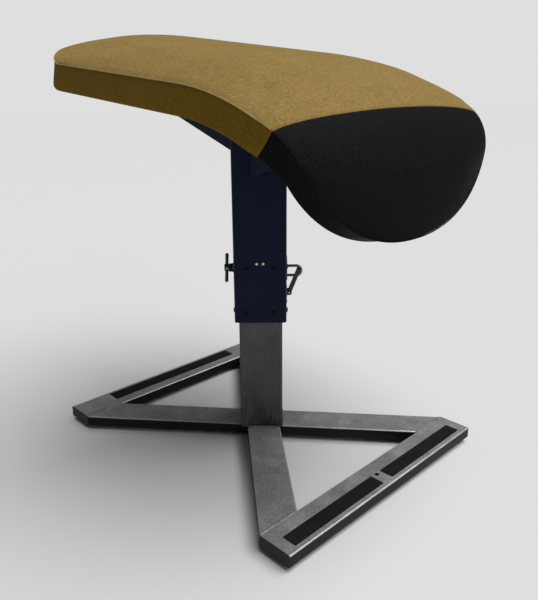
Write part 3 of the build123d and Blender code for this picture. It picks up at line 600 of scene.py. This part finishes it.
def inflate(piece, pins):
    """Cloth simulation of the cover over its padding; the result is capped and kept in the mesh."""
    scene = bpy.context.scene
    before = coords(piece)
    group = piece.vertex_groups.new(name="held")
    for value in np.unique(pins):
        group.add([int(i) for i in np.where(pins == value)[0]], float(value), "REPLACE")
    cloth = piece.modifiers.new("cloth", "CLOTH")
    settings = cloth.settings
    settings.quality = 4
    settings.mass = 0.4
    settings.tension_stiffness = 25
    settings.compression_stiffness = 25
    settings.shear_stiffness = 12
    settings.bending_stiffness = 1.5
    settings.use_pressure = True
    settings.uniform_pressure_force = CLOTH_PRESSURE
    settings.vertex_group_mass = "held"
    settings.pin_stiffness = 1.0
    settings.shrink_min = -0.001
    settings.effector_weights.gravity = 0
    for number in range(1, CLOTH_FRAMES + 1):
        scene.frame_set(number)
    done = piece.evaluated_get(bpy.context.evaluated_depsgraph_get())
    after = np.zeros(len(before) * 3)
    done.data.vertices.foreach_get("co", after)
    move = after.reshape(-1, 3) - before
    size = np.linalg.norm(move, axis=1)[:, None]
    print("cloth moved mm: mean %.2f max %.2f" % (size.mean() * 1000, size.max() * 1000))
    piece.modifiers.remove(cloth)
    piece.vertex_groups.remove(group)
    scene.frame_set(1)
    set_coords(piece, before + move * np.minimum(1, CLOTH_CAP / np.maximum(size, 1e-9)))


inflate(pad, pin_values)

# ---------------------------------------------------------------- join of the two covers
JOIN_WIDTH_SHARE = 0.94
GROOVE_CUTS = (-0.010, -0.005, -0.002, 0.0, 0.002, 0.005, 0.010)
GROOVE_REACH = 0.03
GROOVE_DEPTH = 0.0016
GROOVE_WIDTH = 0.0022
LIP_HEIGHT = 0.0006
LIP_AT = 0.008
LIP_WIDTH = 0.004
COVER_THICKNESS = 0.0012

join_s = (JOIN_NEAR + JOIN_FAR) / 2
join_point, join_tangent, join_up = seam(np.array([join_s]))
lean = (JOIN_FAR - JOIN_NEAR) / (2 * TOP_HALF * JOIN_WIDTH_SHARE)
join_normal = Vector(join_tangent[0]) - lean * Vector((0, 1, 0))
join_normal.normalize()
join_place = Vector(join_point[0])


def cut(mesh, offset=0.0, **clear):
    """Cut a mesh in the plane of the join, moved forward by offset; clear says which side goes."""
    work = bmesh.new()
    work.from_mesh(mesh)
    bmesh.ops.bisect_plane(
        work,
        geom=work.verts[:] + work.edges[:] + work.faces[:],
        dist=1e-6,
        plane_co=join_place + offset * join_normal,
        plane_no=join_normal,
        **clear,
    )
    work.to_mesh(mesh)
    work.free()


for offset in GROOVE_CUTS:
    cut(pad.data, offset)
points = coords(pad)
pad.data.update()
normals = np.array([v.normal for v in pad.data.vertices])
gap = (points - np.array(join_place)) @ np.array(join_normal)
near_join = np.where(np.abs(gap) < GROOVE_REACH, 1.0, 0.0)
groove = GROOVE_DEPTH * np.exp(-((gap / GROOVE_WIDTH) ** 2))
dip = groove - LIP_HEIGHT * np.exp(-(((np.abs(gap) - LIP_AT) / LIP_WIDTH) ** 2))
set_coords(pad, points - (near_join * dip)[:, None] * normals)


def keep_side(name, forward):
    """Copy of the pad on one side of the join, as a smooth cover with a thickness."""
    piece = pad.copy()
    piece.data = pad.data.copy()
    piece.name = name
    piece.data.name = name
    bpy.context.scene.collection.objects.link(piece)
    cut(piece.data, clear_inner=forward, clear_outer=not forward)
    smooth = piece.modifiers.new("smooth", "SUBSURF")
    smooth.levels = smooth.render_levels = 1
    thick = piece.modifiers.new("thickness", "SOLIDIFY")
    thick.thickness = COVER_THICKNESS
    thick.offset = -1
    return piece


tan_top = keep_side("tan_top_cover", False)
black_front = keep_side("black_front_cover", True)
bpy.data.objects.remove(pad)
for piece, finish, slot_name, replaced in (
    (tan_top, (tan_vinyl, band_vinyl_painted_shade), "tan_vinyl", ("tan_cover", "foam_pad")),
    (black_front, (black_vinyl, black_vinyl), "black_vinyl", ("front_cover",)),
):
    piece.data.materials.append(finish[0])
    piece.data.materials.append(finish[1])
    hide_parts(*replaced)
    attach(piece, "carriage")

# piping along the seam, split at the join
PIPING = (0.0018, 0.0017)
PIPING_OUT = 0.0012
PIPING_UP = 0.0004
side_of_join = (loop_seam - np.array(join_place)) @ np.array(join_normal)
piping_path = loop_seam + PIPING_OUT * loop_out + PIPING_UP * loop_up
for name, keep, finish, slot_name in (
    ("tan_piping", side_of_join < 0, piping_vinyl_painted_highlight, "tan_vinyl"),
    ("black_piping", side_of_join >= 0, black_vinyl, "black_vinyl"),
):
    index = np.where(keep)[0]
    gaps = np.where(np.diff(index) > 1)[0]
    if len(gaps):
        index = np.concatenate([index[gaps[0] + 1:], index[: gaps[0] + 1]])
    path = piping_path[index]
    fine = np.linspace(0, len(path) - 1, 3 * len(path))
    path = np.stack([np.interp(fine, np.arange(len(path)), path[:, i]) for i in range(3)], -1)
    v, f = tube(path, PIPING, 10)
    piping = to_object(name, v, f)
    piping.data.materials.append(finish)
    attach(piping, "carriage")


# ---------------------------------------------------------------- weld beads
def bead(start, end, up, radius=0.0035, pitch=0.0042):
    """Rippled weld bead from start to end."""
    start, end = np.array(start, float), np.array(end, float)
    length = np.linalg.norm(end - start)
    count = max(8, int(length / pitch * 5))
    t = np.linspace(0, 1, count)
    path = start + t[:, None] * (end - start)
    phase = t * length / pitch
    ripple = 0.86 + 0.14 * np.abs(np.sin(pi * phase)) ** 0.7
    ripple = ripple * np.clip(np.minimum(t, 1 - t) * length / 0.004 + 0.35, 0.35, 1)
    return tube(path, (radius, radius * 0.75), 10, up=up, ripple=ripple)


BAR_HEIGHT = 0.041
BAR_INNER = 0.481
WELD_END = 0.4785
LAP = 0.0008
ARM_ROOTS = {-1: 1.071, 1: 0.986}
ARM_WELD_TOP = 1.200
ARM_WELD_X = 0.0467
ARM_WELD_Y = 0.0875

bar_low = bar_top - BAR_HEIGHT
bar_inner = (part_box("front_bar")[0].x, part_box("rear_bar")[1].x)
diagonal_angle = radians(39.79)
half_bar = 0.061
junction_y = (BAR_INNER * tan(diagonal_angle) - half_bar / cos(diagonal_angle), WELD_END)
base_beads = []
for x, inward in ((bar_inner[0], -1), (bar_inner[1], 1)):
    for sy in (1, -1):
        ends = sorted((sy * junction_y[0], sy * junction_y[1]))
        base_beads.append(bead((x, ends[0], bar_top - LAP), (x, ends[1], bar_top - LAP), (0, 0, 1)))
        side_y = sy * (junction_y[0] - 0.001)
        base_beads.append(bead((x, side_y, bar_low + 0.003), (x, side_y, bar_top - 0.002), (inward, 0, 0)))
cross = 2 * diagonal_angle
run = half_bar / sin(cross)
for sx in (1, -1):
    # where a short diagonal meets the long one, on both faces of the crossing
    along_long = np.array([cos(diagonal_angle), sin(diagonal_angle), 0])
    away = np.array([sin(diagonal_angle), -cos(diagonal_angle), 0]) * sx
    middle = np.array(column) + away * half_bar + along_long * sx * half_bar / tan(cross)
    one = middle - along_long * run
    two = middle + along_long * run
    z = np.array([0, 0, bar_top - LAP])
    base_beads.append(bead(one + z, two + z, (0, 0, 1)))

half_column = 0.077
corner_cut = 0.009
bead_off = 0.0015
bead_height = np.array([0, 0, bar_top + bead_off])
foot_beads = []
for face in range(4):
    a = radians(45 + 90 * face)
    out = np.array([cos(a), sin(a), 0])
    along = np.array([-sin(a), cos(a), 0])
    spots = []
    for t in np.linspace(-half_column + corner_cut, half_column - corner_cut, 60):
        p = out * (half_column + bead_off) + along * t
        near_long = abs(-sin(diagonal_angle) * p[0] + cos(diagonal_angle) * p[1])
        near_short = abs(sin(diagonal_angle) * p[0] + cos(diagonal_angle) * p[1])
        if min(near_long, near_short) < half_bar - 0.004:
            spots.append(t)
    beside = np.array(column) + out * (half_column + bead_off)
    one = beside + along * spots[0] + bead_height
    two = beside + along * spots[-1] + bead_height
    foot_beads.append(bead(one, two, (0, 0, 1), 0.0048))
v, f = join_parts(base_beads)
base_welds = to_object("base_welds", v, f)
base_welds.data.materials.append(weld_metal)
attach(base_welds, "base")
v, f = join_parts(foot_beads)
column_weld = to_object("column_foot_weld", v, f)
column_weld.data.materials.append(weld_metal)
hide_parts("column_weld")
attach(column_weld, "base")

arm_beads = []
for sx, root in ARM_ROOTS.items():
    for sy in (1, -1):
        x = column.x + sx * ARM_WELD_X
        y = sy * ARM_WELD_Y
        arm_beads.append(bead((x, y, root + 0.004), (x, y, ARM_WELD_TOP), (sx, 0, 0), 0.0032))
v, f = join_parts(arm_beads)
arm_welds = to_object("arm_welds", v, f)
arm_welds.data.materials.append(navy)
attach(arm_welds, "carriage")


# ---------------------------------------------------------------- turned hardware
def lathe(profile, origin, axis, sides=32, hex_rows=()):
    """Turned solid: profile rows are (radius, height); rows listed in hex_rows become hexagons."""
    axis = Vector(axis).normalized()
    frame_matrix = axis.to_track_quat("Z", "Y").to_matrix()
    vertices = []
    for row, (radius, height) in enumerate(profile):
        for k in range(sides):
            a = 2 * pi * k / sides
            r = radius
            if row in hex_rows:
                wedge = (a + pi / 6) % (pi / 3) - pi / 6
                r = radius / cos(wedge)
            p = frame_matrix @ Vector((r * cos(a), r * sin(a), height)) + Vector(origin)
            vertices.append(tuple(p))
    return vertices, ring_faces(len(profile), sides)


OUTER_HALF = 0.0915
BOLT_HEIGHTS = (0.514, 0.6735)
BOLT_ASIDE = 0.0465
SOCKET_ROWS = (7, 8)
bolt_heads = []
button = [
    (0.0100, 0.0), (0.0103, 0.0006), (0.0100, 0.0014), (0.0089, 0.0029), (0.0073, 0.0040),
    (0.0054, 0.0046), (0.0038, 0.0048), (0.0030, 0.0047), (0.0029, 0.0024),
]
washer = [(0.0118, 0.0), (0.0120, 0.0004), (0.0118, 0.0009), (0.0096, 0.0010)]
for face in range(4):
    a = radians(45 + 90 * face)
    out = Vector((cos(a), sin(a), 0))
    along = Vector((-sin(a), cos(a), 0))
    for z in BOLT_HEIGHTS:
        for side in (-1, 1):
            spot = column + out * OUTER_HALF + along * side * BOLT_ASIDE + Vector((0, 0, z))
            bolt_heads.append(lathe(washer, spot, out, 36))
            bolt_heads.append(lathe(button, spot + out * 0.0006, out, 36, SOCKET_ROWS))
v, f = join_parts(bolt_heads)
heads = to_object("button_head_bolts", v, f, smooth=False)
heads.data.materials.append(black_bolt)
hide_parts("glide_pad_bolts")
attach(heads, "carriage")

FOOT_RADIUS = 0.03
foot_profile = [
    (0.009, 0.006), (0.009, 0.0008), (0.0098, 0.0), (0.0275, 0.0), (0.0292, 0.0006),
    (FOOT_RADIUS, 0.0022), (FOOT_RADIUS, 0.0062), (0.0288, 0.0071), (0.0288, 0.0084),
    (FOOT_RADIUS, 0.0093), (FOOT_RADIUS, 0.0146), (0.0292, 0.0158), (0.006, 0.016),
]
feet = []
foot_low, foot_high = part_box("base_feet")
for x in (foot_low.x + FOOT_RADIUS, foot_high.x - FOOT_RADIUS):
    for y in (foot_low.y + FOOT_RADIUS, foot_high.y - FOOT_RADIUS):
        feet.append(lathe(foot_profile, (x, y, 0), (0, 0, 1), 48))
v, f = join_parts(feet)
rubber_feet = to_object("rubber_feet", v, f)
rubber_feet.data.materials.append(rubber)
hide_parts("base_feet")
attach(rubber_feet, "base")

# ---------------------------------------------------------------- floor, lights and camera
FLOOR_HALF = 30
AMBIENT = 0.16
BACKDROP = 0.74
floor_corners = [(x * FLOOR_HALF, y * FLOOR_HALF, 0) for x, y in ((-1, -1), (1, -1), (1, 1), (-1, 1))]
floor = to_object("floor", floor_corners, [(0, 1, 2, 3)])
floor.data.materials.append(material("pale_floor", (0.46, 0.46, 0.46), 0.8, specular=0.05)[0])

world = bpy.data.worlds.new("studio")
world.use_nodes = True
sky = world.node_tree
ambient = sky.nodes["Background"]
ambient.inputs[0].default_value = (1, 1, 1, 1)
ambient.inputs[1].default_value = AMBIENT
backdrop = sky.nodes.new("ShaderNodeBackground")
backdrop.inputs[0].default_value = (BACKDROP, BACKDROP, BACKDROP, 1)
rays = sky.nodes.new("ShaderNodeLightPath")
either = sky.nodes.new("ShaderNodeMixShader")
sky.links.new(rays.outputs["Is Camera Ray"], either.inputs[0])
sky.links.new(ambient.outputs[0], either.inputs[1])
sky.links.new(backdrop.outputs[0], either.inputs[2])
sky.links.new(either.outputs[0], sky.nodes["World Output"].inputs[0])
bpy.context.scene.world = world


def soft_sun(name, source, strength, angle):
    """Sun lamp shining from source towards the origin; angle is its width in degrees."""
    data = bpy.data.lights.new(name, "SUN")
    data.energy = strength
    data.angle = radians(angle)
    lamp = bpy.data.objects.new(name, data)
    bpy.context.scene.collection.objects.link(lamp)
    lamp.rotation_euler = (-Vector(source)).to_track_quat("-Z", "Y").to_euler()


soft_sun("overhead", (0.35, 0.25, 1.0), 4.8, 55)
soft_sun("side_fill", (1.0, -0.1, 0.55), 0.4, 40)

eye = Vector((1.5688, -1.5118, 1.2842)) + column
yaw, pitch, roll = radians(46.66), radians(18.89), radians(-0.88)
forward = Vector((-sin(yaw) * cos(pitch), cos(yaw) * cos(pitch), -sin(pitch)))
right = Vector((cos(yaw), sin(yaw), 0))
up = right.cross(forward)
right_rolled = cos(roll) * right + sin(roll) * up
up_rolled = right_rolled.cross(forward)
camera_data = bpy.data.cameras.new("photo_view")
camera_data.sensor_fit = "HORIZONTAL"
camera_data.sensor_width = 36
camera_data.lens = 42.46
camera_data.shift_x = 0.0269
camera_data.shift_y = -0.0019
camera = bpy.data.objects.new("photo_view", camera_data)
bpy.context.scene.collection.objects.link(camera)
turned = Matrix((right_rolled, up_rolled, -forward)).transposed().to_4x4()
camera.matrix_world = Matrix.Translation(eye) @ turned
bpy.context.scene.camera = camera
bpy.context.scene.view_settings.view_transform = "Standard"
